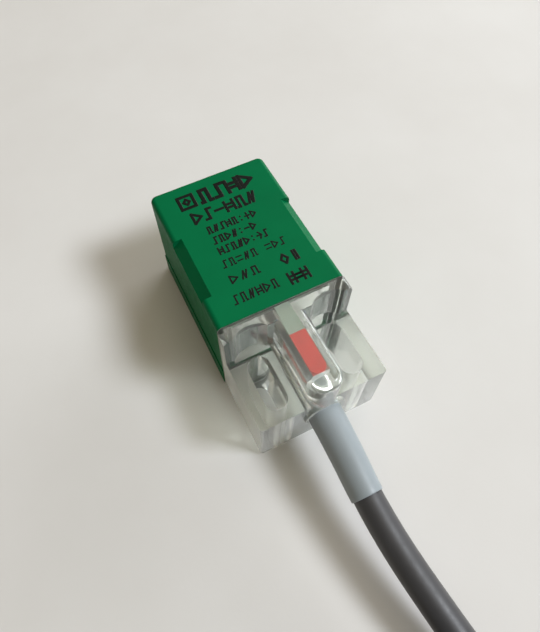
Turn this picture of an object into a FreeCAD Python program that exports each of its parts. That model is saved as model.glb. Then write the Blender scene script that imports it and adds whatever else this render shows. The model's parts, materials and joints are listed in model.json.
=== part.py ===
# Block-shaped inductive proximity sensor with a three-core cable, in millimetres.
# +Z is up, the cable leaves towards -Y, the sensing face looks towards +Y.
# The origin is at the middle of the sensor's footprint, on the surface that it lies on.
import FreeCAD, Part
import math
import os
import Sketcher

Vector = FreeCAD.Vector
doc = FreeCAD.newDocument("proximity_sensor")

# ---------------------------------------------------------------- driving sizes
SIZES = {
    # green housing
    "body_width": 25.0,
    "body_height": 24.0,
    "body_length": 49.4,
    "housing_length": 32.7,
    "upper_width": 24.6,
    "base_band_height": 6.0,
    "wall": 1.5,
    "face_thickness": 1.0,
    "top_edge_radius": 1.0,
    "bottom_edge_radius": 0.4,
    "rear_corner_radius": 1.3,
    "notch_inset": 1.9,
    "notch_depth": 1.9,
    "notch_rear_y": 12.2,
    "notch_front_y": -1.7,
    # clear end cover
    "cover_width": 24.8,
    "collar_thickness": 3.0,
    "collar_joint_radius": 0.3,
    "flange_height": 15.8,
    "flange_bottom_radius": 1.4,
    "flange_corner_radius": 0.6,
    "ridge_width": 6.0,
    "ridge_edge_radius": 1.4,
    "ridge_nose_radius": 2.6,
    "boss_radius": 4.0,
    "boss_stand_out": 0.8,
    "spigot_length": 2.5,
    "spigot_wall": 1.2,
    "fit_gap": 0.1,
    "slot_width": 4.3,
    "slot_length": 10.6,
    "slot_spacing": 14.9,
    "slot_rear_y": -12.0,
    "screw_head_radius": 4.5,
    # status light
    "led_width": 2.8,
    "led_height": 2.8,
    "led_length": 8.2,
    "led_nose_radius": 1.3,
    "led_rear_y": -13.8,
    "led_bottom_z": 19.3,
    "led_lead_size": 0.45,
    "led_lead_spacing": 2.54,
    "led_lead_board_y": -3.2,
    # sensing coil
    "core_radius": 9.0,
    "core_height": 5.2,
    "core_floor": 1.6,
    "core_rim": 1.55,
    "core_post_radius": 3.7,
    "bobbin_clearance": 0.15,
    "bobbin_wall": 0.5,
    "winding_radius": 6.9,
    "carrier_front_y": 17.2,
    "carrier_lip": 0.8,
    "coil_lead_radius": 0.15,
    "coil_lead_spacing": 11.2,
    "coil_lead_hole_radius": 0.4,
    # circuit board
    "board_width": 19.0,
    "board_front_y": -4.6,
    "board_rear_y": 16.8,
    "board_bottom_z": 11.5,
    "board_thickness": 1.0,
    "potting_front_y": -5.4,
    # cable
    "cable_diameter": 5.2,
    "cable_axis_z": 11.8,
    "cable_length": 1500.0,
    "core_wire_radius": 0.65,
    "core_wire_pitch_radius": 1.35,
    "sleeve_inner_end_y": -12.0,
    "sleeve_free_length": 15.1,
    "sleeve_root_radius": 3.2,
    "sleeve_tip_radius": 2.85,
    "sleeve_bore_gap": 0.05,
    "sleeve_boss_gap": 0.02,
    # put-away coil of cable
    "coil_mean_radius": 26.0,
    "coil_turn_spacing": 5.4,
    "coil_floor_gap": 0.5,
    "coil_centre_x": -23.6,
    "coil_centre_y": -96.2,
    "tie_thickness": 0.4,
    "tie_width": 4.0,
}

sheet = doc.addObject("Spreadsheet::Sheet", "Sizes")
for row, (alias, size) in enumerate(SIZES.items(), start=1):
    sheet.set(f"A{row}", alias)
    sheet.set(f"B{row}", str(size))
    sheet.setAlias(f"B{row}", alias)
doc.recompute()


def bound(formula):
    """Turn a formula in plain size names into one that reads the sheet."""
    words = []
    word = ""
    for letter in formula + " ":
        if letter.isalnum() or letter in "_.":
            word += letter
            continue
        words.append("Sizes." + word if word in SIZES else word)
        words.append(letter)
        word = ""
    return "".join(words).strip()


def mm(formula):
    """The present value of a formula in millimetres."""
    return float(sheet.evalExpression(bound(str(formula))))


REAR_Y = "(body_length / 2)"
FRONT_Y = "(-body_length / 2)"
JOINT_Y = "(body_length / 2 - housing_length)"
COLLAR_Y = "(body_length / 2 - housing_length - collar_thickness)"
MID_Z = "(body_height / 2)"
BOSS_Y = "(-body_length / 2 - boss_stand_out)"
BOARD_TOP = "(board_bottom_z + board_thickness)"
LED_TOP = "(led_bottom_z + led_height)"
SLOT_X = "(slot_spacing / 2)"
SLOT_CENTRE_Y = "(slot_rear_y - slot_width / 2)"
SLOT_FRONT_CENTRE_Y = "(slot_rear_y - slot_length + slot_width / 2)"
CORE_TOP_Y = "(body_length / 2 - face_thickness - 0.2)"
CORE_BACK_Y = "(body_length / 2 - face_thickness - 0.2 - core_height)"
CORE_FLOOR_Y = "(body_length / 2 - face_thickness - 0.2 - core_height + core_floor)"
LEAD_Z = "(board_bottom_z + board_thickness + coil_lead_radius)"


# ---------------------------------------------------------------- drawing helpers
def new_body(label):
    body = doc.addObject("PartDesign::Body", label)
    body.Label = label
    return body


def new_sketch(body, name, role, offset="0"):
    """A sketch on one of the body's own planes, moved along that plane's normal."""
    plane = next(item for item in body.Origin.OriginFeatures if item.Role == role)
    sketch = body.newObject("Sketcher::SketchObject", name)
    sketch.AttachmentSupport = [(plane, "")]
    sketch.MapMode = "FlatFace"
    sketch.setExpression("AttachmentOffset.Base.z", bound(offset))
    doc.recompute()
    return sketch


def tie_point(sketch, shape, end, across, up):
    """Hold one point of a sketch at two formulas from the sketch's origin."""
    for kind, axis, formula in (("DistanceX", -2, across), ("DistanceY", -1, up)):
        size = mm(formula)
        if abs(size) < 1e-9:
            sketch.addConstraint(Sketcher.Constraint("PointOnObject", shape, end, axis))
            continue
        index = sketch.addConstraint(Sketcher.Constraint(kind, -1, 1, shape, end, size))
        sketch.setExpression(f"Constraints[{index}]", bound(str(formula)))


def draw_polygon(sketch, corners):
    """A closed outline of straight lines through corners given as pairs of formulas."""
    places = [Vector(mm(across), mm(up), 0) for across, up in corners]
    first = sketch.GeometryCount
    for start, finish in zip(places, places[1:] + places[:1]):
        sketch.addGeometry(Part.LineSegment(start, finish), False)
    for step, (across, up) in enumerate(corners):
        following = first + (step + 1) % len(corners)
        sketch.addConstraint(Sketcher.Constraint("Coincident", first + step, 2, following, 1))
        tie_point(sketch, first + step, 1, across, up)


def draw_rectangle(sketch, left, bottom, right, top):
    draw_polygon(sketch, [(left, bottom), (right, bottom), (right, top), (left, top)])


def draw_circle(sketch, across, up, radius):
    centre = Vector(mm(across), mm(up), 0)
    index = sketch.addGeometry(Part.Circle(centre, Vector(0, 0, 1), mm(radius)), False)
    tie_point(sketch, index, 3, across, up)
    size = sketch.addConstraint(Sketcher.Constraint("Radius", index, mm(radius)))
    sketch.setExpression(f"Constraints[{size}]", bound(radius))


def stop_if_failed(item):
    if "Invalid" in item.State or "Error" in item.State:
        raise RuntimeError(f"{item.Label} failed to recompute")


def feature(body, kind, name, sketch, length, reverse=False):
    """A pad or pocket of a sketch. It stops the build if a pocket removes nothing."""
    before = body.Shape.Volume if kind == "PartDesign::Pocket" else None
    item = body.newObject(kind, name)
    item.Profile = sketch
    item.Reversed = reverse
    item.setExpression("Length", bound(length))
    doc.recompute()
    stop_if_failed(item)
    if before is not None and body.Shape.Volume > before - 1e-3:
        raise RuntimeError(f"{name} removes nothing")
    return item


def pad(body, name, sketch, length, reverse=False):
    return feature(body, "PartDesign::Pad", name, sketch, length, reverse)


def pocket(body, name, sketch, length, reverse=False):
    return feature(body, "PartDesign::Pocket", name, sketch, length, reverse)


def fillet(body, name, radius, chosen):
    """Round the edges of the body's last feature that a test picks out."""
    base = body.Tip
    edges = [f"Edge{n}" for n, edge in enumerate(base.Shape.Edges, start=1) if chosen(edge)]
    if not edges:
        raise RuntimeError(f"{name} finds no edge")
    item = body.newObject("PartDesign::Fillet", name)
    item.Base = (base, edges)
    item.setExpression("Radius", bound(radius))
    doc.recompute()
    stop_if_failed(item)
    return item


def runs_along(edge, axis):
    box = edge.BoundBox
    spans = {"x": box.XLength, "y": box.YLength, "z": box.ZLength}
    along = spans.pop(axis)
    return along > 0.5 and max(spans.values()) < 1e-3


def near(first, second):
    return abs(first - second) < 1e-3


def shape_node(label, shape):
    node = doc.addObject("Part::Feature", label)
    node.Label = label
    node.Shape = shape
    return node


def rounded_route(points, share=0.45):
    """Straight runs joined by tangent arcs, and the arcs' radii."""
    edges = []
    radii = []
    start = points[0]
    for before, corner, after in zip(points, points[1:], points[2:]):
        back = before - corner
        onward = after - corner
        tangent = share * min(back.Length, onward.Length)
        back.normalize()
        onward.normalize()
        half_turn = (math.pi - back.getAngle(onward)) / 2
        radius = tangent / math.tan(half_turn)
        inward = back + onward
        inward.normalize()
        middle = corner + inward * (radius / math.cos(half_turn) - radius)
        entry = corner + back * tangent
        leave = corner + onward * tangent
        edges.append(Part.LineSegment(start, entry).toShape())
        edges.append(Part.Arc(entry, middle, leave).toShape())
        radii.append(radius)
        start = leave
    edges.append(Part.LineSegment(start, points[-1]).toShape())
    return Part.Wire(edges), radii


def round_wire(points, radius):
    """A round wire of one radius along a rounded route, and its length and arc radii."""
    path, radii = rounded_route(points)
    ring = Part.Wire(Part.Circle(points[0], points[1] - points[0], radius).toShape())
    solid = path.makePipeShell([ring], True, False)
    expected = math.pi * radius ** 2 * path.Length
    if abs(solid.Volume / expected - 1) > 0.01:
        raise RuntimeError("a wire's volume differs from its section times its length")
    return solid, path.Length, radii


# ---------------------------------------------------------------- green housing
def make_housing():
    body = new_body("housing")
    plan = new_sketch(body, "housing_plan", "XY_Plane")
    draw_rectangle(plan, "-upper_width / 2", JOINT_Y, "upper_width / 2", REAR_Y)
    pad(body, "housing_block", plan, "body_height")

    fillet(body, "rear_corners", "rear_corner_radius",
           lambda edge: runs_along(edge, "z") and near(edge.BoundBox.YMax, mm(REAR_Y)))
    fillet(body, "top_edges", "top_edge_radius",
           lambda edge: near(edge.BoundBox.ZMin, mm("body_height"))
           and not near(edge.BoundBox.YMax, mm(JOINT_Y)))
    fillet(body, "bottom_edges", "bottom_edge_radius",
           lambda edge: near(edge.BoundBox.ZMax, 0)
           and not near(edge.BoundBox.YMax, mm(JOINT_Y)))

    bands = new_sketch(body, "side_band_ends", "XZ_Plane", f"-{JOINT_Y}")
    for side in ("-", ""):
        draw_rectangle(bands, f"{side}(upper_width / 2 - 0.5)", "bottom_edge_radius",
                       f"{side}body_width / 2", "base_band_height")
    pad(body, "side_bands", bands, "housing_length - rear_corner_radius", reverse=True)

    inside = new_sketch(body, "inside", "XZ_Plane", f"-{JOINT_Y}")
    draw_rectangle(inside, "-body_width / 2 + wall", "wall", "body_width / 2 - wall",
                   "body_height - wall")
    pocket(body, "hollow", inside, "housing_length - face_thickness")

    notches = new_sketch(body, "edge_notches", "XZ_Plane", "-notch_front_y")
    for side in ("", "-"):
        inner = f"{side}(upper_width / 2 - notch_inset)"
        outer = f"{side}(upper_width / 2 + notch_inset)"
        draw_polygon(notches, [(inner, "body_height"), (outer, "body_height - 2 * notch_depth"),
                               (outer, "body_height + 1"), (inner, "body_height + 1")])
    pocket(body, "edge_notch_cuts", notches, "notch_rear_y - notch_front_y")
    return body


# ---------------------------------------------------------------- clear end cover
def make_end_cover():
    body = new_body("end_cover")
    half = "cover_width / 2"

    ridge = new_sketch(body, "ridge_plan", "XY_Plane", "cable_axis_z")
    draw_rectangle(ridge, "-ridge_width / 2", BOSS_Y, "ridge_width / 2", JOINT_Y)
    pad(body, "ridge", ridge, "body_height - cable_axis_z")
    fillet(body, "ridge_nose", "ridge_nose_radius",
           lambda edge: runs_along(edge, "z") and near(edge.BoundBox.YMax, mm(BOSS_Y)))
    fillet(body, "ridge_top_edges", "ridge_edge_radius",
           lambda edge: near(edge.BoundBox.ZMin, mm("body_height"))
           and not near(edge.BoundBox.YMin, mm(JOINT_Y)))

    boss = new_sketch(body, "boss_circle", "XZ_Plane", f"-{BOSS_Y}")
    draw_circle(boss, "0", "cable_axis_z", "boss_radius")
    pad(body, "cable_boss", boss, "boss_stand_out + 1", reverse=True)

    flange = new_sketch(body, "flange_plan", "XY_Plane")
    draw_rectangle(flange, f"-{half}", FRONT_Y, half, JOINT_Y)
    pad(body, "flange", flange, "flange_height")
    fillet(body, "flange_corners", "flange_corner_radius",
           lambda edge: runs_along(edge, "z") and near(edge.BoundBox.YMax, mm(FRONT_Y))
           and near(abs(edge.BoundBox.XMin), mm(half)))
    fillet(body, "flange_front_bottom", "flange_bottom_radius",
           lambda edge: runs_along(edge, "x") and near(edge.BoundBox.ZMax, 0)
           and near(edge.BoundBox.YMax, mm(FRONT_Y)))

    collar = new_sketch(body, "collar_plan", "XY_Plane", "flange_height")
    draw_rectangle(collar, f"-{half}", COLLAR_Y, half, JOINT_Y)
    pad(body, "collar", collar, "body_height - flange_height")
    fillet(body, "collar_top_edges", "top_edge_radius",
           lambda edge: runs_along(edge, "y") and near(edge.BoundBox.ZMin, mm("body_height"))
           and near(abs(edge.BoundBox.XMin), mm(half)))

    fillet(body, "collar_joint_edges", "collar_joint_radius",
           lambda edge: near(edge.BoundBox.YMin, mm(JOINT_Y))
           and near(edge.BoundBox.YMax, mm(JOINT_Y))
           and near(edge.BoundBox.ZMax, mm("body_height")))

    spigot = new_sketch(body, "spigot_outline", "XZ_Plane", f"-{JOINT_Y}")
    outside = "(body_width / 2 - wall - fit_gap)"
    draw_rectangle(spigot, f"-{outside}", "wall + fit_gap", outside,
                   "body_height - wall - fit_gap")
    inside = "(body_width / 2 - wall - fit_gap - spigot_wall)"
    draw_rectangle(spigot, f"-{inside}", "wall + fit_gap + spigot_wall", inside,
                   "body_height - wall - fit_gap - spigot_wall")
    pad(body, "spigot", spigot, "spigot_length", reverse=True)

    bore = new_sketch(body, "cable_bore_circle", "XZ_Plane", f"-{JOINT_Y} - 1")
    draw_circle(bore, "0", "cable_axis_z", "sleeve_root_radius")
    pocket(body, "cable_bore", bore, f"{JOINT_Y} - {BOSS_Y} + 2", reverse=True)

    window = new_sketch(body, "led_pocket_outline", "XZ_Plane", f"-{JOINT_Y} - 1")
    reach = "(led_width / 2 + fit_gap)"
    draw_rectangle(window, f"-{reach}", "led_bottom_z - fit_gap", reach, f"{LED_TOP} + fit_gap")
    pocket(body, "led_pocket", window,
           f"{JOINT_Y} - led_rear_y + led_length + fit_gap + 1", reverse=True)

    for name, side in (("left", "-"), ("right", "")):
        across = f"{side}{SLOT_X}"
        for end, y in (("rear", SLOT_CENTRE_Y), ("front", SLOT_FRONT_CENTRE_Y)):
            hole = new_sketch(body, f"{name}_slot_{end}_circle", "XY_Plane", "flange_height + 1")
            draw_circle(hole, across, y, "slot_width / 2")
            pocket(body, f"{name}_slot_{end}", hole, "flange_height + 2")
        middle = new_sketch(body, f"{name}_slot_sides", "XY_Plane", "flange_height + 1")
        draw_rectangle(middle, f"{across} - slot_width / 2", SLOT_FRONT_CENTRE_Y,
                       f"{across} + slot_width / 2", SLOT_CENTRE_Y)
        pocket(body, f"{name}_slot", middle, "flange_height + 2")
        head = new_sketch(body, f"{name}_screw_head_circle", "XY_Plane", "body_height + 1")
        draw_circle(head, across, SLOT_CENTRE_Y, "screw_head_radius")
        pocket(body, f"{name}_screw_head_recess", head, "body_height - flange_height + 1")
    return body


# ---------------------------------------------------------------- sensing coil
def make_ring(label, centre_y, rings, cuts=()):
    """A turned piece about the coil's axis: stacked rings of (inner, outer, from, to)."""
    body = new_body(label)
    for number, (inner, outer, low, high) in enumerate(rings):
        ring = new_sketch(body, f"{label}_ring_{number}", "XZ_Plane", f"-({centre_y}) - ({low})")
        draw_circle(ring, "0", MID_Z, outer)
        if inner:
            draw_circle(ring, "0", MID_Z, inner)
        pad(body, f"{label}_pad_{number}", ring, f"({high}) - ({low})", reverse=True)
    for number, (radius, depth) in enumerate(cuts):
        holes = new_sketch(body, f"{label}_lead_holes_{number}", "XZ_Plane", f"-({centre_y})")
        for side in ("-", ""):
            draw_circle(holes, f"{side}coil_lead_spacing / 2", LEAD_Z, radius)
        pocket(body, f"{label}_lead_cut_{number}", holes, depth)
    return body


def make_coil():
    core = make_ring("ferrite_core", CORE_BACK_Y, [
        (None, "core_radius", "0", "core_floor"),
        ("core_radius - core_rim", "core_radius", "core_floor", "core_height"),
        (None, "core_post_radius", "core_floor", "core_height")],
        [("coil_lead_hole_radius", "core_floor")])
    bottom = f"{CORE_FLOOR_Y} + 0.05"
    hub = "core_post_radius + bobbin_clearance"
    rim = "core_radius - core_rim - bobbin_clearance"
    tall = "(core_height - core_floor - 0.15)"
    bobbin = make_ring("coil_bobbin", bottom, [
        (hub, rim, "0", "bobbin_wall"),
        (hub, f"{hub} + bobbin_wall", "bobbin_wall", f"{tall} - bobbin_wall"),
        (hub, rim, f"{tall} - bobbin_wall", tall)],
        [("coil_lead_hole_radius", "bobbin_wall")])
    winding = make_ring("coil_winding", f"{bottom} + bobbin_wall", [
        (f"{hub} + bobbin_wall", "winding_radius", "0", f"{tall} - 2 * bobbin_wall")])
    return [core, bobbin, winding]


def make_coil_carrier():
    body = new_body("coil_carrier")
    plate = new_sketch(body, "carrier_outline", "XZ_Plane", "-carrier_front_y")
    half = "(body_width / 2 - wall - fit_gap)"
    draw_rectangle(plate, f"-{half}", "wall + fit_gap", half, "body_height - wall - fit_gap")
    pad(body, "carrier_block", plate, f"{CORE_TOP_Y} - carrier_front_y", reverse=True)
    seat = new_sketch(body, "core_seat_circle", "XZ_Plane", f"-{CORE_BACK_Y}")
    draw_circle(seat, "0", MID_Z, "core_radius + fit_gap")
    pocket(body, "core_seat", seat, "core_height + 1")
    window = new_sketch(body, "carrier_window_circle", "XZ_Plane", "-carrier_front_y")
    draw_circle(window, "0", MID_Z, "core_radius - carrier_lip")
    pocket(body, "carrier_window", window, f"{CORE_BACK_Y} - carrier_front_y + 0.5")
    return body


def make_coil_leads():
    """Two ends of the winding's wire, straight back through the core to the board."""
    back_y = mm(f"{CORE_FLOOR_Y} + 0.05 + bobbin_wall")
    front_y = mm("board_rear_y - 1.4")
    leads = [Part.makeCylinder(mm("coil_lead_radius"), back_y - front_y,
                               Vector(side * mm("coil_lead_spacing / 2"), front_y, mm(LEAD_Z)),
                               Vector(0, 1, 0)) for side in (-1, 1)]
    return shape_node("coil_leads", Part.makeCompound(leads))


# ---------------------------------------------------------------- circuit board
def make_board():
    body = new_body("circuit_board")
    plan = new_sketch(body, "board_plan", "XY_Plane", "board_bottom_z")
    draw_rectangle(plan, "-board_width / 2", "board_front_y", "board_width / 2", "board_rear_y")
    pad(body, "board_sheet", plan, "board_thickness")
    return body


# Flat chip legs, and the body of a small two-ended chip.
LEG_WIDTH = 0.4
LEG_THICKNESS = 0.2
LEG_REACH = 0.6
LEG_FOOT = 0.7
LEG_ROOT = 0.1
LEG_STAND_OFF = 0.1
LEG_PITCH = 1.27
SMALL_CHIP = (1.6, 0.8, 0.5)


def leg_box(left, near_y, side, length, tall, low):
    """One flat stretch of a leg, running outward to the given side from near_y."""
    start_y = near_y if side > 0 else near_y - length
    return Part.makeBox(LEG_WIDTH, length, tall, Vector(left, start_y, low))


def make_chip(label, long, wide, tall, centre, legs_per_side=0, leg_pitch=LEG_PITCH):
    """A chip body with flat legs along its two long sides, resting on the board."""
    surface = mm(BOARD_TOP)
    low = surface + (LEG_STAND_OFF if legs_per_side else 0.0)
    solid = Part.makeBox(long, wide, tall,
                         Vector(centre[0] - long / 2, centre[1] - wide / 2, low))
    shoulder = surface + (tall - LEG_THICKNESS) / 2
    drop = (tall + LEG_THICKNESS) / 2
    for number in range(legs_per_side):
        left = centre[0] + (number - (legs_per_side - 1) / 2) * leg_pitch - LEG_WIDTH / 2
        for side in (-1, 1):
            root_y = centre[1] + side * (wide / 2 - LEG_ROOT)
            bend_y = root_y + side * LEG_REACH
            solid = solid.fuse([
                leg_box(left, root_y, side, LEG_REACH, LEG_THICKNESS, shoulder),
                leg_box(left, bend_y, side, LEG_THICKNESS, drop, surface),
                leg_box(left, bend_y, side, LEG_FOOT, LEG_THICKNESS, surface)])
    return shape_node(label, solid.removeSplitter())


def make_chip_row(label, places, below=False):
    """Small two-ended chips of one kind, as separate solids in one node."""
    long, wide, tall = SMALL_CHIP
    surface = mm("board_bottom_z") - tall if below else mm(BOARD_TOP)
    chips = [Part.makeBox(long, wide, tall, Vector(x - long / 2, y - wide / 2, surface))
             for x, y in places]
    return shape_node(label, Part.makeCompound(chips))


def make_components():
    return [
        make_chip("oscillator_ic", 5.0, 4.0, 1.5, (0.0, 8.2), legs_per_side=4),
        make_chip("output_transistor", 4.5, 2.5, 1.5, (5.6, 2.6), legs_per_side=2, leg_pitch=3.0),
        make_chip("surge_diode", 4.3, 2.6, 2.1, (-5.9, 2.4)),
        make_chip("polarity_diode", 4.3, 2.6, 2.1, (-6.3, 6.4)),
        make_chip("supply_capacitor", 3.5, 2.8, 1.9, (6.2, 7.6)),
        make_chip("tuning_capacitor", 3.2, 1.6, 1.3, (0.0, 13.4)),
        make_chip_row("chip_resistors", [(-6.4, 10.4), (-6.4, 12.2), (6.6, 11.2), (6.6, 13.0),
                                         (0.0, 3.6)]),
        make_chip_row("chip_capacitors", [(-5.0, 0.0), (-1.5, 4.0), (3.0, 9.0), (5.5, 1.5)],
                      below=True),
    ]


# ---------------------------------------------------------------- status light
def make_status_led():
    body = new_body("status_led")
    plan = new_sketch(body, "led_plan", "XY_Plane", "led_bottom_z")
    draw_rectangle(plan, "-led_width / 2", "led_rear_y - led_length", "led_width / 2",
                   "led_rear_y")
    pad(body, "led_block", plan, "led_height")
    fillet(body, "led_front_corners", "led_nose_radius",
           lambda edge: runs_along(edge, "z")
           and near(edge.BoundBox.YMin, mm("led_rear_y - led_length")))
    return body


LEAD_ROOT_X = 0.8
LEAD_ROOT_LENGTH = 1.0


def make_led_leads():
    """Two square leads, back from the light, apart, and down on to the board."""
    size = mm("led_lead_size")
    level = mm("led_bottom_z + led_height / 2")
    rear_y = mm("led_rear_y")
    board_y = mm("led_lead_board_y")
    leads = []
    for side in (-1, 1):
        x = side * mm("led_lead_spacing / 2") - size / 2
        root_x = side * LEAD_ROOT_X - size / 2
        jog_y = rear_y + LEAD_ROOT_LENGTH - size
        root = Part.makeBox(size, LEAD_ROOT_LENGTH, size,
                            Vector(root_x, rear_y, level - size / 2))
        jog = Part.makeBox(abs(x - root_x) + size, size, size,
                           Vector(min(x, root_x), jog_y, level - size / 2))
        along = Part.makeBox(size, board_y - jog_y, size, Vector(x, jog_y, level - size / 2))
        down = Part.makeBox(size, size, level - mm(BOARD_TOP) + size / 2,
                            Vector(x, board_y - size, mm(BOARD_TOP)))
        leads.append(root.fuse([jog, along, down]).removeSplitter())
    return shape_node("led_leads", Part.makeCompound(leads))


# ---------------------------------------------------------------- cable
WIRE_NAMES = ("brown", "blue", "black")
WIRE_ANGLES = {"brown": 210, "blue": 90, "black": 330}

# The jacket's route, from inside the cover to where it joins the put-away coil.
CABLE_POINTS = [
    Vector(0.0, -9.0, 11.8),
    Vector(0.0, -27.5, 11.8),
    Vector(-0.9, -45.0, 9.5),
    Vector(1.1, -62.5, 8.0),
    Vector(4.6, -80.0, 3.6),
    Vector(5.1, -96.2, 3.1),
]

# The coil is wound clockwise from angle 0. Its last turn leaves the top strand at TAIL_LEAVES
# and ends at TAIL_END, one strand further out. Angles are in degrees about the coil's axis.
TAIL_LEAVES = 240
TAIL_BESIDE = 180
TAIL_END = -75
TAIL_RUNS = 8
TAIL_SWING = 0.72
TAIL_HUMP = 0.6
TURNS_BEFORE_TAIL = 8 - TAIL_LEAVES / 360
TIE_START = -50


def coil_place(angle, offset, height):
    """A point at an angle about the coil's axis, at an offset from its mean radius."""
    radius = mm("coil_mean_radius") + offset
    turned = math.radians(angle)
    return Vector(mm("coil_centre_x") + radius * math.cos(turned),
                  mm("coil_centre_y") + radius * math.sin(turned), height)


def strand_height(layer):
    """The height of a strand's middle in one of the coil's nested layers, as a formula."""
    return f"(coil_floor_gap + cable_diameter / 2 + {layer} * 0.866 * coil_turn_spacing)"


def tail_points():
    """The free end's route: out from the coil's top strand, then round beside it."""
    top = mm(strand_height(3))
    beside = mm("coil_turn_spacing")
    half_way = (TAIL_LEAVES + TAIL_BESIDE) / 2
    points = [coil_place(TAIL_LEAVES, 0, top),
              coil_place(half_way, beside * TAIL_SWING, top + TAIL_HUMP)]
    step = (TAIL_BESIDE - TAIL_END) / TAIL_RUNS
    stand_out = (mm("coil_mean_radius") + beside) * (1 / math.cos(math.radians(step / 2)) - 1)
    for number in range(TAIL_RUNS + 1):
        angle = TAIL_BESIDE - number * step
        points.append(coil_place(angle, beside + stand_out, top))
    return points


def wire_offset(name, sideways, upward):
    angle = math.radians(WIRE_ANGLES[name])
    reach = mm("core_wire_pitch_radius")
    return sideways * (reach * math.cos(angle)) + upward * (reach * math.sin(angle))


# The inner wires' solder pads across the board, and how far back each bend of a wire lies.
PADS_X = {"brown": -5.0, "blue": 0.0, "black": 5.0}
WIRE_FAN_Y = -7.4
WIRE_EDGE_Y = -5.3
WIRE_PAD_Y = -1.8
FAN_SHARE = 0.15
EDGE_SHARE = 0.9
FAN_SAG = 0.3
SOLDER_GAP = 0.05


def make_inner_wires():
    """The three insulated wires, from the jacket's inner end to the board's front edge."""
    rest_z = mm(BOARD_TOP) + mm("core_wire_radius") + SOLDER_GAP
    start = CABLE_POINTS[0]
    nodes = []
    for name in WIRE_NAMES:
        root = start + wire_offset(name, Vector(1, 0, 0), Vector(0, 0, 1))
        pad_x = PADS_X[name]
        points = [root,
                  Vector(root.x + pad_x * FAN_SHARE, WIRE_FAN_Y,
                         (root.z + rest_z) / 2 - FAN_SAG),
                  Vector(pad_x * EDGE_SHARE, WIRE_EDGE_Y, rest_z),
                  Vector(pad_x, WIRE_PAD_Y, rest_z)]
        solid, _, _ = round_wire(points, mm("core_wire_radius"))
        nodes.append(shape_node(f"inner_wire_{name}", solid))
    return nodes


# Where each bared wire lies at its end: offset from the coil's mean radius, height over the
# top strand's middle, and length past the jacket.
END_WIRE_LIES = {"brown": (3.0, -1.35, 24.0), "blue": (4.4, -1.75, 27.0),
                 "black": (5.8, -2.6, 23.0)}
END_WIRE_BEND = 0.45
END_WIRE_BULGE = 0.6
END_WIRE_DROP = 0.8
TIP_RADIUS = 0.4
TIP_LENGTH = 5.0


def make_end_wires():
    """The three wires past the end of the jacket, side by side on the coil, and their tips."""
    route = tail_points()
    start = route[-1]
    ahead = (start - route[-2]).normalize()
    upward = Vector(0, 0, 1)
    outward = upward.cross(ahead)
    nodes = []
    tips = []
    for name in WIRE_NAMES:
        offset, lift, long = END_WIRE_LIES[name]
        root = start + wire_offset(name, outward, upward)
        swept = math.degrees(long / (mm("coil_mean_radius") + offset))
        middle = coil_place(TAIL_END - swept * END_WIRE_BEND, offset + END_WIRE_BULGE,
                            start.z + lift * END_WIRE_DROP)
        last = coil_place(TAIL_END - swept, offset, start.z + lift)
        solid, _, _ = round_wire([root, middle, last], mm("core_wire_radius"))
        nodes.append(shape_node(f"end_wire_{name}", solid))
        tips.append(Part.makeCylinder(TIP_RADIUS, TIP_LENGTH, last, last - middle))
    nodes.append(shape_node("tinned_ends", Part.makeCompound(tips)))
    return nodes


SLEEVE_STEPS = 5


def make_strain_relief():
    """A tapered sleeve from inside the boss along the cable's first bend."""
    path, _ = rounded_route(CABLE_POINTS)
    boss_face = CABLE_POINTS[0].y - mm(BOSS_Y)
    free_length = mm("sleeve_free_length")
    stations = [CABLE_POINTS[0].y - mm("sleeve_inner_end_y")]
    for step in range(SLEEVE_STEPS + 1):
        stations.append(boss_face + free_length * step / SLEEVE_STEPS)
    outer_rings = []
    bore_rings = []
    bore_radius = mm("cable_diameter / 2 + sleeve_bore_gap")
    root_radius = mm("sleeve_root_radius - sleeve_boss_gap")
    for station in stations:
        place, ahead = point_along(path, station)
        share = max(0.0, (station - boss_face) / free_length)
        radius = root_radius + share * (mm("sleeve_tip_radius") - root_radius)
        outer_rings.append(Part.Wire(Part.Circle(place, ahead, radius).toShape()))
        bore_rings.append(Part.Wire(Part.Circle(place, ahead, bore_radius).toShape()))
    solid = Part.makeLoft(outer_rings, True).cut(Part.makeLoft(bore_rings, True))
    return shape_node("strain_relief", solid)


def point_along(path, distance):
    """The place and direction at a distance along a path of edges."""
    for edge in path.OrderedEdges:
        if distance <= edge.Length + 1e-9:
            parameter = edge.getParameterByLength(distance)
            return edge.valueAt(parameter), edge.tangentAt(parameter)
        distance -= edge.Length
    raise RuntimeError("the path is shorter than that")


WIDE = "(coil_turn_spacing + cable_diameter / 2)"
MIDDLE = "(coil_turn_spacing / 2 + cable_diameter / 2)"
NARROW = "(cable_diameter / 2)"
COIL_TOP = f"({strand_height(3)} + cable_diameter / 2)"


def placed_outline(corners):
    """Corners given from the coil's mean radius, as formulas from its axis."""
    return [(f"coil_mean_radius + {across}", up) for across, up in corners]


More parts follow.
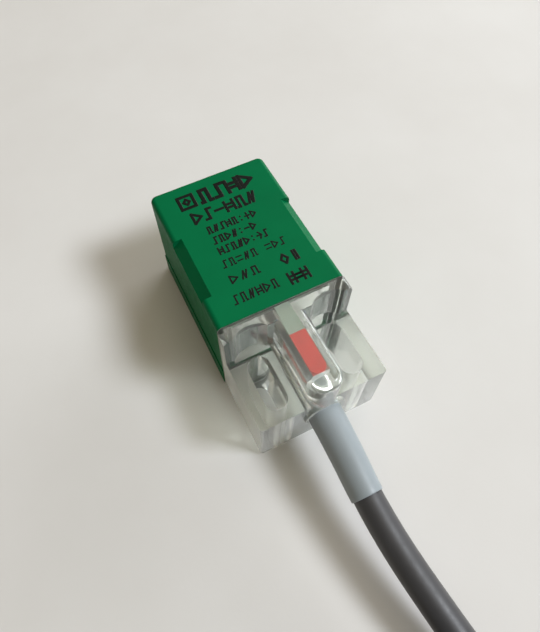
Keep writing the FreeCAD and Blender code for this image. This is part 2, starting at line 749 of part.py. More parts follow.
def coil_outline():
    """The coil's section: strands nested two, three, two and one, with a groove for the tail."""
    return placed_outline([
        (f"1 - {MIDDLE}", "coil_floor_gap"), (f"-{MIDDLE}", "coil_floor_gap + 1"),
        (f"-{WIDE}", f"{strand_height(1)} - 1"), (f"-{WIDE}", f"{strand_height(1)} + 1"),
        (f"-{MIDDLE}", f"{strand_height(2)} + 1"), (f"-{NARROW}", f"{COIL_TOP} - 1"),
        (f"1 - {NARROW}", COIL_TOP), (f"{NARROW} - 1", COIL_TOP),
        (NARROW, f"{COIL_TOP} - 1"), (NARROW, f"{strand_height(3)} - 1.1"),
        (f"{NARROW} + 1.6", f"{strand_height(3)} - 2.7"), (MIDDLE, strand_height(2)),
        (WIDE, f"{strand_height(1)} + 1"), (WIDE, f"{strand_height(1)} - 1"),
        (MIDDLE, "coil_floor_gap + 1"), (f"{MIDDLE} - 1", "coil_floor_gap")])


def tie_outline(grow):
    """A band's outline round the coil and its tail, grown all round by a formula."""
    low = f"coil_floor_gap - ({grow})"
    high = f"{COIL_TOP} + ({grow})"
    return placed_outline([
        (f"1 - {MIDDLE}", low), (f"-{MIDDLE} - ({grow})", f"{low} + 1"),
        (f"-{WIDE} - ({grow})", f"{strand_height(1)} - 1"),
        (f"-{WIDE} - ({grow})", f"{strand_height(1)} + 1"),
        (f"-{NARROW} - ({grow})", f"{high} - 1"), (f"1 - {NARROW}", high),
        (f"{WIDE} - 1", high), (f"{WIDE} + ({grow})", f"{high} - 1"),
        (f"{WIDE} + ({grow})", f"{strand_height(1)} - 1"),
        (f"{MIDDLE} + ({grow})", f"{low} + 1"), (f"{MIDDLE} - 1", low)])


def make_turned(label, outlines, angle=360.0, start=0.0):
    """A turned piece about the coil's upright axis, moved to the coil's centre."""
    body = new_body(label)
    section = new_sketch(body, label + "_section", "XZ_Plane")
    for outline in outlines:
        draw_polygon(section, outline)
    turned = body.newObject("PartDesign::Revolution", label + "_turn")
    turned.Profile = section
    turned.ReferenceAxis = (section, ["V_Axis"])
    turned.Angle = angle
    body.Placement = FreeCAD.Placement(
        Vector(mm("coil_centre_x"), mm("coil_centre_y"), 0),
        FreeCAD.Rotation(Vector(0, 0, 1), start))
    doc.recompute()
    return body


def largest_solid(shape):
    return max(shape.Solids, key=lambda solid: solid.Volume)


def make_cable():
    radius = mm("cable_diameter / 2")
    coil = make_turned("cable_coil", [coil_outline()])
    tie_angle = math.degrees(mm("tie_width") / mm("coil_mean_radius"))
    tie = make_turned("coil_tie", [tie_outline("tie_thickness + 0.05"), tie_outline("0.05")],
                      tie_angle, TIE_START)
    tube, free_length, radii = round_wire(CABLE_POINTS, radius)
    tail, tail_length, tail_radii = round_wire(tail_points(), radius)
    coil_length = 2 * math.pi * mm("coil_mean_radius") * TURNS_BEFORE_TAIL
    total = free_length + coil_length + tail_length
    print("cable arc radii, mm:", [round(r, 1) for r in radii + tail_radii])
    print("jacket length, mm:", round(total, 1), "nominal with wires", mm("cable_length"))
    tube_node = shape_node("cable_tube", largest_solid(tube.cut(coil.Shape)))
    tail_node = shape_node("cable_tail", largest_solid(tail.cut(coil.Shape)))
    return [tube_node, coil, tie, tail_node]


# ---------------------------------------------------------------- potting compound
POTTING_GAP = 0.05


def make_potting(buried):
    """Resin that fills the housing and the light's pocket, cut around what it buries."""
    half = mm("body_width / 2 - wall")
    low = mm("wall")
    tall = mm("body_height - 2 * wall")
    front = mm("potting_front_y")
    rear = mm("carrier_front_y") - POTTING_GAP
    block = Part.makeBox(2 * half, rear - front, tall, Vector(-half, front, low))
    led_width = mm("led_width")
    led_back = mm("led_rear_y") + POTTING_GAP
    plug = Part.makeBox(led_width, front + 1 - led_back, mm("led_height"),
                        Vector(-led_width / 2, led_back, mm("led_bottom_z")))
    resin = block.fuse(plug).removeSplitter()
    return shape_node("potting_compound", resin.cut([node.Shape for node in buried]))


# ---------------------------------------------------------------- assembly
def check(node):
    for item in [node] + list(getattr(node, "Group", [])):
        stop_if_failed(item)
    if node.Shape.isNull() or not node.Shape.isValid():
        raise RuntimeError(f"{node.Label} has no valid shape")
    if not node.Shape.Solids:
        raise RuntimeError(f"{node.Label} has no solid")


def main():
    nodes = [make_housing(), make_end_cover()]
    coil_parts = make_coil()
    board = make_board()
    coil_leads = make_coil_leads()
    components = make_components()
    led = make_status_led()
    led_leads = make_led_leads()
    wires = make_inner_wires()
    doc.recompute()
    buried = [board, coil_leads, led_leads] + components + wires
    nodes += coil_parts + [make_coil_carrier(), coil_leads, board] + components
    nodes += [led, led_leads] + wires + [make_potting(buried), make_strain_relief()]
    nodes += make_cable() + make_end_wires()
    doc.recompute()
    for node in nodes:
        check(node)
    os.makedirs("parts", exist_ok=True)
    for node in nodes:
        node.Shape.exportStep(f"parts/{node.Label}.step")
        volume = node.Shape.Volume
        print(f"{node.Label:20s} solids {len(node.Shape.Solids)} volume {volume:10.2f} mm3")


main()
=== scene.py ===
import json
import math

import bmesh
import bpy
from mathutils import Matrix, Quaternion, Vector


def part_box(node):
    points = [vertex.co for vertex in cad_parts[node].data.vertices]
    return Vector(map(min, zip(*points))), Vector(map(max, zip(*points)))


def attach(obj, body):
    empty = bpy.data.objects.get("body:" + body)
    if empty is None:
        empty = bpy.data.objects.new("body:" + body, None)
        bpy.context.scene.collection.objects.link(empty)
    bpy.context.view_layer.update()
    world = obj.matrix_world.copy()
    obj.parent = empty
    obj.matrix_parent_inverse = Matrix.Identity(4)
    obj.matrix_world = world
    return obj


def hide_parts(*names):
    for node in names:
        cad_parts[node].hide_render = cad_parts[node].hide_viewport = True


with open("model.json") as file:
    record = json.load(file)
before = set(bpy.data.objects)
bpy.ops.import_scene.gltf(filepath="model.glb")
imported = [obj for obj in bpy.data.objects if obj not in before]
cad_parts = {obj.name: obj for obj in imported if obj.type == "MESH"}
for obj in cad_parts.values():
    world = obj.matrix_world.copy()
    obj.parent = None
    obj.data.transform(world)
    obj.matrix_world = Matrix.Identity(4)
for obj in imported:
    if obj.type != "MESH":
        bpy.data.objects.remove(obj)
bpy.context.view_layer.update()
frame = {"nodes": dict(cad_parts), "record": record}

# Lengths are in millimetres in the CAD's frame unless a comment says otherwise.
MM = 0.001
NODES = frame["nodes"]
SCENE = bpy.context.scene


# ---------------------------------------------------------------- camera
# The clipping distances are in metres, and the shifts are shares of the sensor's width.
CAMERA_PLACE = (-23.1, -46.8, 101.5)
CAMERA_AIM = (-3.66, 0.95, 12.0)
CAMERA_ROLL = math.radians(3.93)
CAMERA_SENSOR_WIDTH = 36.0
CAMERA_LENS = 29.65
CAMERA_SHIFT = (0.0436, -0.0193)
CAMERA_CLIP = (0.005, 20.0)


def make_camera():
    """A phone-like camera above and to the left of the cable end."""
    data = bpy.data.cameras.new("camera")
    data.sensor_width = CAMERA_SENSOR_WIDTH
    data.lens = CAMERA_LENS
    data.shift_x, data.shift_y = CAMERA_SHIFT
    data.clip_start, data.clip_end = CAMERA_CLIP
    place = Vector(CAMERA_PLACE) * MM
    forward = (Vector(CAMERA_AIM) * MM - place).normalized()
    level = forward.to_track_quat("-Z", "Y")
    camera = bpy.data.objects.new("camera", data)
    camera.location = place
    camera.rotation_mode = "QUATERNION"
    camera.rotation_quaternion = Quaternion(forward, CAMERA_ROLL) @ level
    SCENE.collection.objects.link(camera)
    SCENE.camera = camera


# ---------------------------------------------------------------- shader helpers
# The span of a noise texture's values that holds nearly all of its surface.
NOISE_LOW = 0.3
NOISE_HIGH = 0.7


def new_material(name):
    material = bpy.data.materials.new(name)
    material.use_nodes = True
    material.node_tree.nodes.clear()
    return material


def add(material, kind, inputs=None, **settings):
    """A shader node with its plain settings and its unlinked input values."""
    made = material.node_tree.nodes.new(kind)
    for key, value in settings.items():
        setattr(made, key, value)
    for key, value in (inputs or {}).items():
        made.inputs[key].default_value = value
    return made


def link(material, source, target):
    material.node_tree.links.new(source, target)


def coordinates(material):
    """The row frame's own position, in millimetres."""
    place = add(material, "ShaderNodeTexCoord")
    scaled = add(material, "ShaderNodeMapping", {"Scale": [1.0 / MM] * 3})
    link(material, place.outputs["Object"], scaled.inputs["Vector"])
    return scaled.outputs["Vector"]


def noise(material, vector, scale, detail=3.0, rough=0.6):
    """Noise with the given number of cycles per millimetre."""
    made = add(material, "ShaderNodeTexNoise",
               {"Scale": scale, "Detail": detail, "Roughness": rough})
    link(material, vector, made.inputs["Vector"])
    return made.outputs["Fac"]


def spread(material, value, low=0.0, high=1.0):
    """A noise value stretched to run from low to high."""
    made = add(material, "ShaderNodeMapRange",
               {"From Min": NOISE_LOW, "From Max": NOISE_HIGH, "To Min": low, "To Max": high})
    link(material, value, made.inputs["Value"])
    return made.outputs["Result"]


def blend_colours(material, share, first, second):
    """Two colours, or colour outputs, mixed by a share from 0 to 1."""
    made = add(material, "ShaderNodeMix", data_type="RGBA")
    link(material, share, made.inputs["Factor"])
    for name, colour in (("A_Color", first), ("B_Color", second)):
        socket = next(item for item in made.inputs if item.identifier == name)
        if hasattr(colour, "is_output"):
            link(material, colour, socket)
        else:
            socket.default_value = (*colour, 1.0)
    return next(item for item in made.outputs if item.identifier == "Result_Color")


def bump(material, height, distance_mm, strength=1.0, below=None):
    """A normal bent by a height, on top of the bump below it if there is one."""
    made = add(material, "ShaderNodeBump", {"Strength": strength, "Distance": distance_mm * MM})
    link(material, height, made.inputs["Height"])
    if below is not None:
        link(material, below, made.inputs["Normal"])
    return made.outputs["Normal"]


def surface(material, colour, roughness, normal=None, **sockets):
    """The Principled shader: colour and roughness may be values or node outputs."""
    made = add(material, "ShaderNodeBsdfPrincipled")
    for name, value in (("Base Color", colour), ("Roughness", roughness)):
        if hasattr(value, "is_output"):
            link(material, value, made.inputs[name])
        elif name == "Base Color":
            made.inputs[name].default_value = (*value, 1.0)
        else:
            made.inputs[name].default_value = value
    if normal is not None:
        link(material, normal, made.inputs["Normal"])
    for name, value in sockets.items():
        made.inputs[name.replace("_", " ")].default_value = value
    return made


def finish_material(material, shader):
    output = add(material, "ShaderNodeOutputMaterial")
    link(material, shader.outputs[0], output.inputs["Surface"])
    return material


# ---------------------------------------------------------------- materials
def shades(material, place, colour, tone, scale, detail=4.0):
    """A colour that drifts between a darker and a lighter shade, in soft clouds."""
    dark = [part * (1 - tone) for part in colour]
    light = [part * (1 + tone) for part in colour]
    cloud = spread(material, noise(material, place, scale, detail))
    return blend_colours(material, cloud, dark, light)


def moulded(name, colour, roughness=0.42, tone=0.10, grain=6.0, grain_depth=0.006,
            specular=0.5, ior=1.5):
    """Moulded plastic: soft blotches of tone, a fine tool grain, and handling marks."""
    material = new_material(name)
    place = coordinates(material)
    tint = shades(material, place, colour, tone, scale=0.12)
    marks = noise(material, place, scale=0.55, detail=6.0, rough=0.7)
    sheen = spread(material, marks, roughness - 0.06, roughness + 0.07)
    grain_height = noise(material, place, grain)
    waves = noise(material, place, scale=0.16, detail=2.0, rough=0.4)
    normal = bump(material, waves, distance_mm=0.05, strength=0.5)
    normal = bump(material, grain_height, grain_depth, below=normal)
    shader = surface(material, tint, sheen, normal, Specular_IOR_Level=specular, IOR=ior)
    return finish_material(material, shader)


def clear_plastic(name):
    """Clear polycarbonate with a little haze and the ripples of moulding; lamps shine through."""
    material = new_material(name)
    place = coordinates(material)
    ripple = noise(material, place, scale=0.28, rough=0.5)
    normal = bump(material, ripple, distance_mm=0.04, strength=0.3)
    cloud = spread(material, noise(material, place, scale=0.35, rough=0.5))
    tint = blend_colours(material, cloud, (0.79, 0.82, 0.78), (0.85, 0.87, 0.83))
    haze = spread(material, noise(material, place, scale=0.5, detail=4.0), 0.07, 0.15)
    glass = surface(material, tint, haze, normal, Transmission_Weight=0.95, IOR=1.42,
                    Sheen_Weight=0.5, Sheen_Roughness=0.4)
    lamps = add(material, "ShaderNodeBsdfTransparent", {"Color": (0.53, 0.54, 0.51, 1.0)})
    path = add(material, "ShaderNodeLightPath")
    mixed = add(material, "ShaderNodeMixShader")
    link(material, path.outputs["Is Shadow Ray"], mixed.inputs["Fac"])
    link(material, glass.outputs[0], mixed.inputs[1])
    link(material, lamps.outputs[0], mixed.inputs[2])
    return finish_material(material, mixed)


def diffuser(name):
    """Tinted translucent epoxy of the status light, with a faint painted glow from its emission
    that keeps the red deep behind the hazy cover.
    """
    material = new_material(name)
    place = coordinates(material)
    cloud = spread(material, noise(material, place, scale=0.5, rough=0.5))
    tint = blend_colours(material, cloud, (0.34, 0.0, 0.0), (0.44, 0.002, 0.002))
    # The emission is painted glow: the status light is not a lamp in this scene.
    painted_glow_epoxy = surface(material, tint, 0.4, Subsurface_Weight=0.35, Subsurface_Scale=1.5 * MM,
                   Specular_IOR_Level=0.4, Emission_Color=(0.9, 0.03, 0.025, 1.0),
                   Emission_Strength=0.26)
    return finish_material(material, painted_glow_epoxy)


def soft_vinyl(name, colour, roughness, tone=0.06, specular=0.45, dust=0.0):
    """Extruded or moulded PVC: faint clouds of tone, a fine skin and a dull, dusty sheen."""
    material = new_material(name)
    place = coordinates(material)
    tint = shades(material, place, colour, tone, scale=0.2, detail=5.0)
    marks = noise(material, place, scale=0.8, detail=4.0)
    sheen = spread(material, marks, roughness - 0.05, roughness + 0.08)
    skin = bump(material, noise(material, place, scale=3.5), distance_mm=0.012, strength=0.8)
    shader = surface(material, tint, sheen, skin, Specular_IOR_Level=specular,
                     Sheen_Weight=dust, Sheen_Roughness=0.5)
    return finish_material(material, shader)


def metal(name, colour, roughness):
    """Drawn wire or tin plate: a clouded tone and an uneven polish."""
    material = new_material(name)
    place = coordinates(material)
    cloud = spread(material, noise(material, place, scale=0.9, detail=4.0))
    tint = blend_colours(material, cloud, [part * 0.85 for part in colour], colour)
    polish = noise(material, place, scale=2.0, detail=4.0)
    sheen = spread(material, polish, roughness - 0.06, roughness + 0.12)
    shader = surface(material, tint, sheen, Metallic=1.0)
    return finish_material(material, shader)


def make_materials():
    """One material for each slot of the record, given to the CAD nodes that use the slot."""
    recipes = {
        "green_plastic": (moulded, dict(colour=(0.0, 0.145, 0.05), roughness=0.46, tone=0.05,
                                        specular=0.3, ior=1.2)),
        "clear_plastic": (clear_plastic, {}),
        "ferrite": (moulded, dict(colour=(0.045, 0.045, 0.05), roughness=0.65, tone=0.15,
                                  grain=4.0, grain_depth=0.02)),
        "white_plastic": (moulded, dict(colour=(0.72, 0.70, 0.64), roughness=0.5)),
        "copper_wire": (metal, dict(colour=(0.62, 0.22, 0.08), roughness=0.3)),
        "black_plastic": (moulded, dict(colour=(0.022, 0.022, 0.024), roughness=0.5)),
        "board_laminate": (moulded, dict(colour=(0.01, 0.13, 0.05), roughness=0.3, tone=0.12)),
        "black_epoxy": (moulded, dict(colour=(0.02, 0.02, 0.022), roughness=0.55,
                                      grain=8.0, grain_depth=0.01)),
        "tantalum_yellow": (moulded, dict(colour=(0.62, 0.38, 0.04), roughness=0.45)),
        "ceramic_tan": (moulded, dict(colour=(0.42, 0.28, 0.15), roughness=0.6)),
        "red_diffuser": (diffuser, {}),
        "tinned_metal": (metal, dict(colour=(0.72, 0.72, 0.70), roughness=0.28)),
        "brown_insulation": (soft_vinyl, dict(colour=(0.12, 0.035, 0.015), roughness=0.4)),
        "blue_insulation": (soft_vinyl, dict(colour=(0.015, 0.08, 0.42), roughness=0.4)),
        "black_insulation": (soft_vinyl, dict(colour=(0.015, 0.015, 0.016), roughness=0.4)),
        "potting_resin": (moulded, dict(colour=(0.31, 0.38, 0.34), roughness=0.35, tone=0.05,
                                        grain=1.0, grain_depth=0.03)),
        "sleeve_grey": (soft_vinyl, dict(colour=(0.30, 0.345, 0.37), roughness=0.42, tone=0.03,
                                         dust=0.2)),
        "jacket_grey": (soft_vinyl, dict(colour=(0.040, 0.040, 0.044), roughness=0.50,
                                         specular=0.7, dust=0.25)),
        "tie_black": (soft_vinyl, dict(colour=(0.02, 0.02, 0.02), roughness=0.5)),
    }
    made = {slot: recipe(slot, **values) for slot, (recipe, values) in recipes.items()}
    for piece in frame["record"]["subparts"]:
        NODES[piece["node"]].material_slots[0].material = made[piece["material_slot"]]
    return made


# ---------------------------------------------------------------- cable
CABLE_DIAMETER = 5.2
CABLE_EXIT = (0.0, -25.5, 11.8)

# The CAD route of the cable, from inside the cover to the put-away coil.
CABLE_ROUTE = [
    (0.0, -9.0, 11.8),
    (0.0, -27.5, 11.8),
    (-0.9, -45.0, 9.5),
    (1.1, -62.5, 8.0),
    (4.6, -80.0, 3.6),
]

COIL_CENTRE = (-23.6, -96.2)
COIL_MEAN_RADIUS = 26.0
STRAND_SPACING = 5.4
# Strands nest like stacked logs, so a strand rests 60 degrees up the side of its neighbour.
NEST_ANGLE = math.radians(60)
LAYER_RISE = STRAND_SPACING * math.sin(NEST_ANGLE)
FLOOR_STRAND_HEIGHT = 2.65
STEPS_PER_TURN = 24
# The tail ends this far into the last turn.
STEPS_PAST_LAST_TURN = 5
# A strand moves over to its next slot in the last sixth of its turn, and one sixth earlier
# for each layer that it lies above the floor. It humps up a little as it crosses another.
SHIFTS_PER_TURN = 6
SHIFT_HUMP = 0.6
TIE_ANGLE = math.radians(-45)
# The tie's band passes under the coil and lifts it, by this much and this many radians away.
TIE_LIFT = 0.45
TIE_LIFT_REACH = 0.35
# Each turn's offset from the mean radius and its layer, in the order they are wound: layers
# of two, three, two and one strand, and at last the tail beside the top strand.
TURN_SLOTS = [(2.7, 0), (-2.7, 0), (-5.4, 1), (0.0, 1), (5.4, 1), (2.7, 2), (-2.7, 2),
              (0.0, 3), (5.4, 3)]


def smooth_step(share):
    """Eases a share from 0 to 1, level at both ends."""
    return share * share * (3 - 2 * share)


def strand_place(turn, phase):
    """Offset from the mean radius, and height over the lowest strand, part way round a turn."""
    here, layer = TURN_SLOTS[turn]
    level = layer * LAYER_RISE
    if turn + 1 == len(TURN_SLOTS):
        return here, level
    after, after_layer = TURN_SLOTS[turn + 1]
    share = (phase - 1) * SHIFTS_PER_TURN + layer + 1
    share = min(1.0, max(0.0, share))
    eased = smooth_step(share)
    hump = SHIFT_HUMP * math.sin(math.pi * share) if layer else 0.0
    if after_layer == layer:
        return here + (after - here) * eased, level + hump
    before = TURN_SLOTS[turn - 1][0]
    start = math.pi if here < before else 0.0
    end = math.pi - NEST_ANGLE if after < here else NEST_ANGLE
    swing = start + (end - start) * eased
    beside = before + (here - before) * eased
    return (beside + STRAND_SPACING * math.cos(swing),
            level + hump + STRAND_SPACING * math.sin(swing))


def coil_points():
    """Control points of the clockwise turns; the coil is lifted a little where it is tied."""
    outward = 1 / math.cos(math.pi / STEPS_PER_TURN)
    points = []
    last = (len(TURN_SLOTS) - 1) * STEPS_PER_TURN + STEPS_PAST_LAST_TURN
    for step in range(last + 1):
        turn, part = divmod(step, STEPS_PER_TURN)
        offset, lift = strand_place(turn, part / STEPS_PER_TURN)
        angle = -2 * math.pi * step / STEPS_PER_TURN
        from_tie = math.remainder(angle - TIE_ANGLE, 2 * math.pi)
        rise = TIE_LIFT * math.exp(-(from_tie / TIE_LIFT_REACH) ** 2)
        radius = (COIL_MEAN_RADIUS + offset) * outward
        points.append((COIL_CENTRE[0] + radius * math.cos(angle),
                       COIL_CENTRE[1] + radius * math.sin(angle),
                       FLOOR_STRAND_HEIGHT + lift + rise))
    return points


def nurbs_curve(name, points, bevel_mm, resolution):
    """One open NURBS spline that follows control points given in millimetres."""
    data = bpy.data.curves.new(name, "CURVE")
    data.dimensions = "3D"
    data.resolution_u = resolution
    data.bevel_depth = bevel_mm * MM
    data.bevel_resolution = 8
    data.use_fill_caps = True
    spline = data.splines.new("NURBS")
    spline.points.add(len(points) - 1)
    for control, place in zip(spline.points, points):
        control.co = (*(part * MM for part in place), 1.0)
    spline.order_u = 3
    spline.use_endpoint_u = True
    made = bpy.data.objects.new(name, data)
    SCENE.collection.objects.link(made)
    return made


def route_line(points):
    """Places along the smooth line of a route, in metres."""
    bare = nurbs_curve("route_reading", points, bevel_mm=0.0, resolution=24)
    mesh = bpy.data.meshes.new_from_object(bare)
    line = [vertex.co.copy() for vertex in mesh.vertices]
    bpy.data.objects.remove(bare)
    return line


def make_cable(materials):
    """The whole jacket: the route in view, then the put-away coil and its tail."""
    cable = nurbs_curve("cable_jacket", CABLE_ROUTE + coil_points(), CABLE_DIAMETER / 2,
                        resolution=6)
    cable.data.materials.append(materials["jacket_grey"])
    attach(cable, "root")
    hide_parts("cable_tube", "cable_coil", "cable_tail")
    return cable


# ---------------------------------------------------------------- strain relief
SLEEVE_INNER_Y = -12.0
SLEEVE_FREE_LENGTH = 15.1
SLEEVE_BORE_RADIUS = CABLE_DIAMETER / 2 + 0.03
SLEEVE_ROOT_RADIUS = 3.18
SLEEVE_TIP_RADIUS = 2.88
SLEEVE_LIP = 0.12
SLEEVE_STEPS = 14
SLEEVE_SIDES = 48


def mesh_object(name, made):
    """A smooth-shaded object from a bmesh, which is used up."""
    mesh = bpy.data.meshes.new(name)
    made.to_mesh(mesh)
    made.free()
    for face in mesh.polygons:
        face.use_smooth = True
    piece = bpy.data.objects.new(name, mesh)
    SCENE.collection.objects.link(piece)
    return piece


def stations_along(line, distances):
    """Place and direction at each distance, in metres, along a line of points."""
    found = []
    travelled = 0.0
    wanted = list(distances)
    for start, finish in zip(line, line[1:]):
        run = (finish - start).length
        while wanted and travelled + run >= wanted[0]:
            share = (wanted[0] - travelled) / run
            found.append((start.lerp(finish, share), (finish - start).normalized()))
            wanted.pop(0)
        travelled += run
    return found


def revolve_along(name, profile, line, around):
    """A tube about a line: profile pairs are (distance along, radius), in millimetres."""
    made = bmesh.new()
    order = sorted(set(distance for distance, _ in profile))
    places = dict(zip(order, stations_along(line, [distance * MM for distance in order])))
    rings = []
    for distance, radius in profile:
        place, ahead = places[distance]
        sideways = ahead.cross(Vector((0, 0, 1))).normalized()
        upward = sideways.cross(ahead)
        ring = []
        for step in range(around):
            angle = 2 * math.pi * step / around
            reach = sideways * math.cos(angle) + upward * math.sin(angle)
            ring.append(made.verts.new(place + reach * (radius * MM)))
        rings.append(ring)
    for inner, outer in zip(rings, rings[1:] + rings[:1]):
        for step in range(around):
            after = (step + 1) % around
            made.faces.new((inner[step], inner[after], outer[after], outer[step]))
    bmesh.ops.recalc_face_normals(made, faces=made.faces)
    return mesh_object(name, made)


def make_strain_relief(materials):
    """Tapered soft sleeve with a rounded lip, round the cable from inside the boss."""
    start_y = CABLE_ROUTE[0][1]
    inner_end = start_y - SLEEVE_INNER_Y
    root = start_y - CABLE_EXIT[1]
    tip = root + SLEEVE_FREE_LENGTH
    outside = [(inner_end, SLEEVE_ROOT_RADIUS), (root, SLEEVE_ROOT_RADIUS)]
    for step in range(1, SLEEVE_STEPS + 1):
        share = step / SLEEVE_STEPS
        outside.append((root + (tip - SLEEVE_LIP - root) * share,
                        SLEEVE_ROOT_RADIUS + (SLEEVE_TIP_RADIUS - SLEEVE_ROOT_RADIUS) * share))
    # The lip's edge is eased by one point between its side and its face.
    rounded = [(tip - 0.4 * SLEEVE_LIP, SLEEVE_TIP_RADIUS - 0.25 * SLEEVE_LIP),
               (tip, SLEEVE_TIP_RADIUS - SLEEVE_LIP), (tip, SLEEVE_BORE_RADIUS)]
    inside = [(tip - (tip - inner_end) * step / SLEEVE_STEPS, SLEEVE_BORE_RADIUS)
              for step in range(1, SLEEVE_STEPS + 1)]
    sleeve = revolve_along("strain_relief_sleeve", outside + rounded + inside,
                           route_line(CABLE_ROUTE), SLEEVE_SIDES)
    sleeve.data.materials.append(materials["sleeve_grey"])
    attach(sleeve, "root")
    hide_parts("strain_relief")
    return sleeve


# ---------------------------------------------------------------- printed marks
INK_PROUD = 0.02
# The round strokes are squashed to this share of their height.
INK_SQUASH = 0.04
# A stroke runs past its end by this share of its width, to fill the corner.
STROKE_OVERRUN = 0.4
# Plain symbols in place of the maker's print: strokes in a cell one unit each way.
SYMBOLS = {
    "pulse": [[(0, 0), (0.2, 0), (0.2, 1), (0.8, 1), (0.8, 0), (1, 0)]],
    "step": [[(0, 0), (0.5, 0), (0.5, 1), (1, 1)]],
    "saw": [[(0, 0), (0.5, 1), (0.5, 0), (1, 1)]],
    "gate": [[(0, 0), (0, 1), (1, 0.5), (0, 0)]],
    "rails": [[(0, 0.2), (1, 0.2)], [(0, 0.8), (1, 0.8)]],
    "plates": [[(0.3, 0), (0.3, 1)], [(0.7, 0), (0.7, 1)]],
    "plus": [[(0, 0.5), (1, 0.5)], [(0.5, 0), (0.5, 1)]],
    "minus": [[(0, 0.5), (1, 0.5)]],
    "dots": [[(0.5, 0.15), (0.5, 0.2)], [(0.5, 0.75), (0.5, 0.8)]],
    "arrow": [[(0, 0.5), (1, 0.5)], [(0.5, 1), (1, 0.5), (0.5, 0)]],
    "frame": [[(0, 0), (1, 0), (1, 1), (0, 1), (0, 0)]],
    "diamond": [[(0.5, 0), (1, 0.5), (0.5, 1), (0, 0.5), (0.5, 0)]],
    "ladder": [[(0, 0), (0, 1)], [(1, 0), (1, 1)],
               [(0, 0.33), (1, 0.33)], [(0, 0.67), (1, 0.67)]],
    "gap": [],
}
# Each row: left end, foot, cell width, cell height, gap, stroke width, symbols.
PRINT_ROWS = [
    (-7.6, 18.4, 2.9, 3.1, 0.0, 0.7, "frame"),
    (-6.75, 19.25, 1.2, 1.4, 0.0, 0.6, "diamond"),
    (-3.4, 18.4, 2.2, 3.1, 0.75, 0.85, "pulse step ladder gate"),
    (-6.6, 14.2, 1.65, 2.5, 0.62, 0.6, "gate step minus ladder pulse saw"),
    (-5.3, 10.9, 0.85, 1.5, 0.44, 0.36, "pulse saw step ladder pulse dots plus gate"),
    (-5.3, 8.25, 0.85, 1.5, 0.44, 0.36, "step pulse gate saw dots minus gate"),
    (-5.3, 5.65, 0.85, 1.5, 0.44, 0.36, "ladder step pulse saw gate dots arrow step"),
    (-6.0, 2.65, 0.95, 1.5, 0.5, 0.3, "step pulse rails saw pulse gap rails gate step"),
    (-6.0, -0.95, 1.3, 1.6, 0.75, 0.34, "gate saw pulse"),
    (3.9, -1.4, 1.3, 2.0, 0.9, 0.5, "diamond plates"),
    (-7.4, -5.1, 1.0, 1.7, 0.5, 0.32, "step pulse saw ladder gate pulse"),
    (3.4, -5.8, 3.6, 2.3, 0.0, 0.5, "ladder"),
    (4.4, -5.8, 1.6, 2.3, 0.0, 0.5, "ladder"),
]


def ink_strokes():
    """Every straight stroke of the print: two ends, in millimetres, and the stroke's width."""
    strokes = []
    for left, foot, wide, high, gap, width, symbols in PRINT_ROWS:
        for place, symbol in enumerate(symbols.split()):
            start = left + place * (wide + gap)
            for line in SYMBOLS[symbol]:
                corners = [Vector((start + across * wide, foot + up * high))
                           for across, up in line]
                strokes += [(here, there, width) for here, there in zip(corners, corners[1:])]
    return strokes


def make_print():
    """The printed marks: flattened strokes that stand a hair above the housing's top."""
    data = bpy.data.curves.new("print_strokes", "CURVE")
    data.dimensions = "3D"
    data.bevel_depth = MM
    data.bevel_resolution = 2
    data.use_fill_caps = True
    for here, there, width in ink_strokes():
        overrun = (there - here).normalized() * (STROKE_OVERRUN * width)
        spline = data.splines.new("POLY")
        spline.points.add(1)
        for control, place in zip(spline.points, (here - overrun, there + overrun)):
            control.co = (place.x * MM, place.y * MM, 0.0, 1.0)
            control.radius = width / 2
    lines = bpy.data.objects.new("print_strokes", data)
    SCENE.collection.objects.link(lines)
    mesh = bpy.data.meshes.new_from_object(lines)
    bpy.data.objects.remove(lines)
    housing_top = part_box("housing")[1].z
    for vertex in mesh.vertices:
        vertex.co.z = housing_top + INK_PROUD / 2 * MM + vertex.co.z * INK_SQUASH
    ink = bpy.data.objects.new("printed_marks", mesh)
    SCENE.collection.objects.link(ink)
    mesh.materials.append(moulded("print_ink", (0.003, 0.005, 0.004), roughness=0.5, tone=0.2,
                                  specular=0.2))
    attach(ink, "root")


# ---------------------------------------------------------------- floor and light
FLOOR_HALF_WIDTH = 1.2
FLOOR_CLEARANCE = 0.05
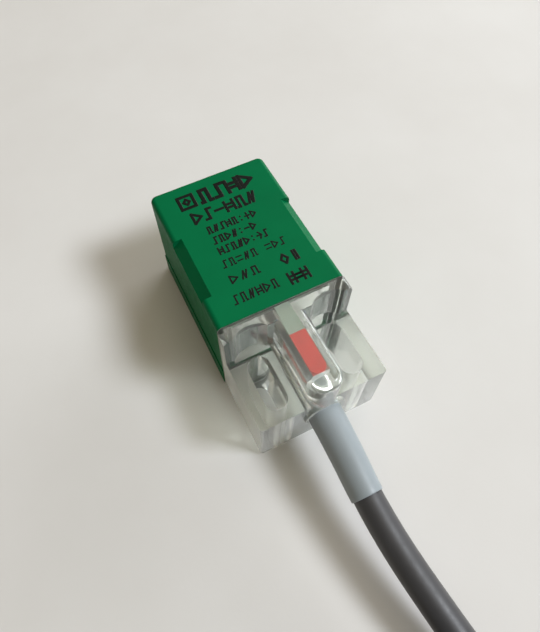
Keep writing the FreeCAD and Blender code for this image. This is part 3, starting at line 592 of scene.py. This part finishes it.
# Each lamp, in metres and watts: name, place, aim, size, power and colour.
LAMPS = [
    ("window", (0.73, -0.56, 1.0), (0, 0, 0), (0.36, 0.36), 15.0, (0.9, 0.94, 1.0)),
    ("side_wall", (1.0, 0.5, 0.32), (0, 0, 0.02), (0.9, 0.5), 8.0, (0.95, 0.97, 1.0)),
    ("ceiling", (0.15, 0.3, 1.3), (0, 0, 0), (1.5, 1.5), 5.2, (1.0, 0.88, 0.67)),
]
ROOM_COLOUR = (1.0, 0.87, 0.64, 1.0)
ROOM_STRENGTH = 0.13


def make_floor():
    """A pale sheet of paper just under the object."""
    made = bmesh.new()
    bmesh.ops.create_grid(made, x_segments=8, y_segments=8, size=FLOOR_HALF_WIDTH)
    floor = mesh_object("floor", made)
    floor.location.z = -FLOOR_CLEARANCE * MM
    material = new_material("floor_paper")
    place = coordinates(material)
    cloud = spread(material, noise(material, place, scale=0.02, detail=4.0))
    tint = blend_colours(material, cloud, (0.70, 0.69, 0.67), (0.74, 0.735, 0.72))
    fibres = noise(material, place, scale=1.2, detail=4.0)
    skin = bump(material, fibres, distance_mm=0.02, strength=0.5)
    shader = surface(material, tint, 0.7, skin, Specular_IOR_Level=0.2)
    floor.data.materials.append(finish_material(material, shader))


def area_light(name, place, aim, size, power, colour):
    """A rectangular lamp that faces its aim."""
    data = bpy.data.lights.new(name, "AREA")
    data.shape = "RECTANGLE"
    data.size, data.size_y = size
    data.energy = power
    data.color = colour
    lamp = bpy.data.objects.new(name, data)
    lamp.location = place
    direction = Vector(aim) - Vector(place)
    lamp.rotation_mode = "QUATERNION"
    lamp.rotation_quaternion = direction.to_track_quat("-Z", "Y")
    SCENE.collection.objects.link(lamp)


def make_light():
    """A window high on the right of the cable end, a bright wall, a soft ceiling and a dim room."""
    for lamp in LAMPS:
        area_light(*lamp)
    world = bpy.data.worlds.new("room")
    world.use_nodes = True
    background = world.node_tree.nodes["Background"]
    background.inputs["Color"].default_value = ROOM_COLOUR
    background.inputs["Strength"].default_value = ROOM_STRENGTH
    SCENE.world = world
    SCENE.view_settings.view_transform = "Standard"


make_camera()
MATERIALS = make_materials()
CABLE = make_cable(MATERIALS)
SLEEVE = make_strain_relief(MATERIALS)
make_print()
make_floor()
make_light()
